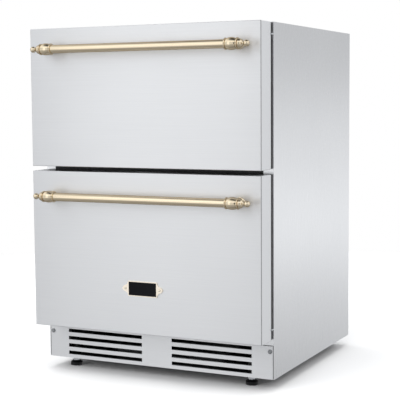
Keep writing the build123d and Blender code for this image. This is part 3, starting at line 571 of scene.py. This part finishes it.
fan_plastic = moulded(
    "fan_plastic", (0.05, 0.05, 0.055), (0.07, 0.07, 0.075), (0.38, 0.48), 1200, 0.15,
)
white_plastic = moulded(
    "white_plastic", (0.80, 0.80, 0.79), (0.85, 0.85, 0.84), (0.35, 0.45), 1000, 0.12,
)
liner_plastic = moulded(
    "liner_plastic", (0.83, 0.835, 0.84), (0.87, 0.875, 0.88), (0.3, 0.4), 700, 0.1,
)
grey_plastic = moulded(
    "grey_plastic", (0.36, 0.37, 0.38), (0.42, 0.43, 0.44), (0.38, 0.48), 1200, 0.15,
)
foam_cream = foam("foam_cream", (0.72, 0.62, 0.38), (0.80, 0.71, 0.47))
foot_black = foot_paint("foot_black")
led_diffuser = diffuser("led_diffuser", (0.82, 0.83, 0.84), (0.92, 0.92, 0.91), (0.3, 0.42))
bumper_clear = clear_plastic(
    "bumper_clear", (0.55, 0.57, 0.60), (0.68, 0.70, 0.72), (0.25, 0.35),
)

# Which CAD nodes have which material
FINISHES = (
    (front_steel, "upper_drawer_front_skin lower_drawer_front_skin"),
    (kick_steel, "toe_kick_grille"),
    (side_steel, "side_panel_left side_panel_right"),
    (top_steel, "top_panel"),
    (bin_steel, "upper_drawer_bin lower_drawer_bin"),
    (bin_steel, "upper_drawer_inner_panel lower_drawer_inner_panel"),
    (slide_steel, "slide_outer_members"),
    (slide_steel, "upper_slide_middle_members lower_slide_middle_members"),
    (slide_steel, "upper_slide_inner_members lower_slide_inner_members"),
    (screw_steel, "toe_kick_screws rear_fasteners upper_handle_screws lower_handle_screws"),
    (brass, "upper_handle_bar lower_handle_bar upper_handle_brackets lower_handle_brackets"),
    (badge_brass, "badge_frame badge_pins"),
    (badge_black, "badge_plate"),
    (copper, "refrigerant_lines"),
    (motor_metal, "condenser_fan_motor evaporator_fan_motor"),
    (galvanised, "rear_panel machine_bay_cover machine_bay_divider"),
    (coil_aluminium, "condenser_coil evaporator_coil"),
    (black_enamel, "base_pan compressor"),
    (mullion_black, "mullion"),
    (black_plastic, "condenser_fan_shroud condensate_pan power_cord_gland"),
    (fan_plastic, "condenser_fan_wheel evaporator_fan_wheel"),
    (white_plastic, "evaporator_cover"),
    (liner_plastic, "inner_liner"),
    (grey_plastic, "control_housing"),
    (black_plastic, "power_button colder_button warmer_button"),
    (foam_cream, "insulation_foam upper_drawer_foam_core lower_drawer_foam_core"),
    (foot_black, "front_left_foot front_right_foot rear_left_foot rear_right_foot"),
    (led_diffuser, "led_strip"),
    (gasket_rubber, "upper_drawer_gasket lower_drawer_gasket"),
    (grommet_rubber, "compressor_grommets"),
    (bumper_clear, "drawer_bumpers"),
)


CAD_SHARP_ANGLE = math.radians(30)


def finish_nodes():
    """Gives every CAD node its material and smooth shading between its sharp edges."""
    for material, names in FINISHES:
        for name in names.split():
            mesh = nodes[name].data
            mesh.materials.clear()
            mesh.materials.append(material)
            mesh.shade_smooth()
            mesh.set_sharp_from_angle(angle=CAD_SHARP_ANGLE)
    painted = {name for _, names in FINISHES for name in names.split()}
    missing = sorted(set(nodes) - painted)
    if missing:
        raise ValueError(f"no finish for {missing}")


finish_nodes()


# Pieces made here in place of soft CAD solids -------------------------------------------------

MM = 0.001
MADE_SHARP_ANGLE = math.radians(40)
SMOOTH_STEPS = 4


def smooth_ring(points):
    """A closed Catmull-Rom outline through the points."""
    ring = []
    count = len(points)
    for index in range(count):
        before, start, end, after = (Vector(points[(index + k) % count]) for k in (-1, 0, 1, 2))
        for step in range(SMOOTH_STEPS):
            t = step / SMOOTH_STEPS
            ring.append(0.5 * (
                2 * start
                + (end - before) * t
                + (2 * before - 5 * start + 4 * end - after) * t ** 2
                + (3 * start - before - 3 * end + after) * t ** 3
            ))
    return ring


def add_piece(name, shape, material, body, replaced):
    """Turns a bmesh into a piece that rides on a body and stands for a CAD node."""
    bmesh.ops.recalc_face_normals(shape, faces=shape.faces)
    mesh = bpy.data.meshes.new(name)
    shape.to_mesh(mesh)
    shape.free()
    mesh.materials.append(material)
    mesh.shade_smooth()
    mesh.set_sharp_from_angle(angle=MADE_SHARP_ANGLE)
    piece = bpy.data.objects.new(name, mesh)
    scene.collection.objects.link(piece)
    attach(piece, body)
    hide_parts(replaced)


# The seal's section in millimetres: distance in from its outer edge, and from its front plane
SEAL = (
    (1.6, 0.0), (0.9, 1.0), (2.2, 2.0), (0.7, 3.0), (2.2, 4.1), (0.5, 5.2), (0.1, 6.6), (0.2, 8.4),
    (1.2, 9.5), (5.0, 9.6), (10.0, 9.6), (13.2, 9.4), (14.0, 8.2), (13.8, 6.4), (12.8, 5.4),
    (14.6, 4.4), (17.2, 5.2), (20.0, 7.0), (22.4, 8.8), (23.5, 8.6), (23.2, 7.4), (20.6, 5.0),
    (17.6, 3.2), (15.4, 2.4), (15.0, 1.2), (14.6, 0.0),
)
SEAL_DEPTH = 9.6


def add_seal(level):
    """Magnetic seal, mitred at its corners, with bellows on the outer side and a lip inside."""
    low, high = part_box(f"{level}_drawer_gasket")
    shape = bmesh.new()
    loops = []
    for inward, depth in smooth_ring(SEAL):
        inset = max(inward, 0) * MM
        y = low.y + min(max(depth, 0), SEAL_DEPTH) * MM
        corners = (
            (low.x + inset, y, low.z + inset), (high.x - inset, y, low.z + inset),
            (high.x - inset, y, high.z - inset), (low.x + inset, y, high.z - inset),
        )
        loops.append([shape.verts.new(corner) for corner in corners])
    for index, loop in enumerate(loops):
        other = loops[(index + 1) % len(loops)]
        for corner in range(len(loop)):
            nearby = (corner + 1) % len(loop)
            shape.faces.new((loop[corner], loop[nearby], other[nearby], other[corner]))
    add_piece(
        f"{level}_door_seal", shape, gasket_rubber, f"{level}_drawer",
        f"{level}_drawer_gasket",
    )


TURNED_SEGMENTS = 32


def turned(shape, at, axis, outline):
    """Adds a turned body to a bmesh: outline has (distance along the axis, radius) pairs."""
    along = Vector(axis).normalized()
    across = along.orthogonal().normalized()
    third = along.cross(across)
    rings = []
    for distance, radius in outline:
        centre = Vector(at) + along * distance
        if radius == 0:
            rings.append([shape.verts.new(centre)])
            continue
        ring = []
        for step in range(TURNED_SEGMENTS):
            turn = 2 * math.pi * step / TURNED_SEGMENTS
            outward = math.cos(turn) * across + math.sin(turn) * third
            ring.append(shape.verts.new(centre + radius * outward))
        rings.append(ring)
    for first, second in zip(rings, rings[1:]):
        for step in range(TURNED_SEGMENTS):
            after = (step + 1) % TURNED_SEGMENTS
            if len(first) == 1:
                shape.faces.new((first[0], second[after], second[step]))
            elif len(second) == 1:
                shape.faces.new((first[step], first[after], second[0]))
            else:
                shape.faces.new((first[step], first[after], second[after], second[step]))


BUMPER_RADIUS = 1.8 * MM
# Height of the dome over its radius, and the steps from its rim to its top
DOME_RISE = 0.9
DOME_STEPS = 6


def add_bumpers():
    """Four small domed stops on the flanges."""
    low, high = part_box("drawer_bumpers")
    radius = BUMPER_RADIUS
    length = high.y - low.y
    shape = bmesh.new()
    outline = [(0, 0), (0, radius)]
    for step in range(DOME_STEPS):
        turn = math.radians(90 * step / DOME_STEPS)
        below_top = DOME_RISE * radius * (1 - math.sin(turn))
        outline.append((length - below_top, radius * math.cos(turn)))
    outline.append((length, 0))
    for x in (low.x + radius, high.x - radius):
        for z in (low.z + radius, high.z - radius):
            turned(shape, (x, high.y, z), (0, -1, 0), outline)
    add_piece(
        "flange_bumpers", shape, bumper_clear, "cabinet", "drawer_bumpers",
    )


# A grommet's outline in millimetres, as (height, radius): its foot, one rib from its own start, the
# waist that holds the compressor's plate from the plate's underside, and the head from its top down
GROMMET_RADIUS = 11
GROMMET_FOOT = ((0, 0), (0, 9.5), (0.6, 10.6))
GROMMET_RIB = ((0, GROMMET_RADIUS), (1.2, GROMMET_RADIUS), (1.9, 9.2), (2.6, 9.2))
GROMMET_WAIST = ((0, 10.2), (0, 6), (3, 6), (3, 9))
GROMMET_HEAD = ((1, 9), (0.3, 8.4), (0, 7.4), (0, 0))
RIB_COUNT = 3
RIB_START, RIB_PITCH = 1.2, 3.4
PLATE_HEIGHT = 12


def add_grommets():
    """Four ribbed rubber feet under the compressor's plate."""
    low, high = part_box("compressor_grommets")
    top = high.z - low.z
    outline = [(height * MM, radius * MM) for height, radius in GROMMET_FOOT]
    for rib in range(RIB_COUNT):
        start = RIB_START + RIB_PITCH * rib
        outline += [((start + height) * MM, radius * MM) for height, radius in GROMMET_RIB]
    outline += [((PLATE_HEIGHT + height) * MM, radius * MM) for height, radius in GROMMET_WAIST]
    outline += [(top - below * MM, radius * MM) for below, radius in GROMMET_HEAD]
    inset = GROMMET_RADIUS * MM
    shape = bmesh.new()
    for x in (low.x + inset, high.x - inset):
        for y in (low.y + inset, high.y - inset):
            turned(shape, (x, y, low.z), (0, 0, 1), outline)
    add_piece(
        "ribbed_grommets", shape, grommet_rubber, "cabinet",
        "compressor_grommets",
    )


add_seal("upper")
add_seal("lower")
add_bumpers()
add_grommets()
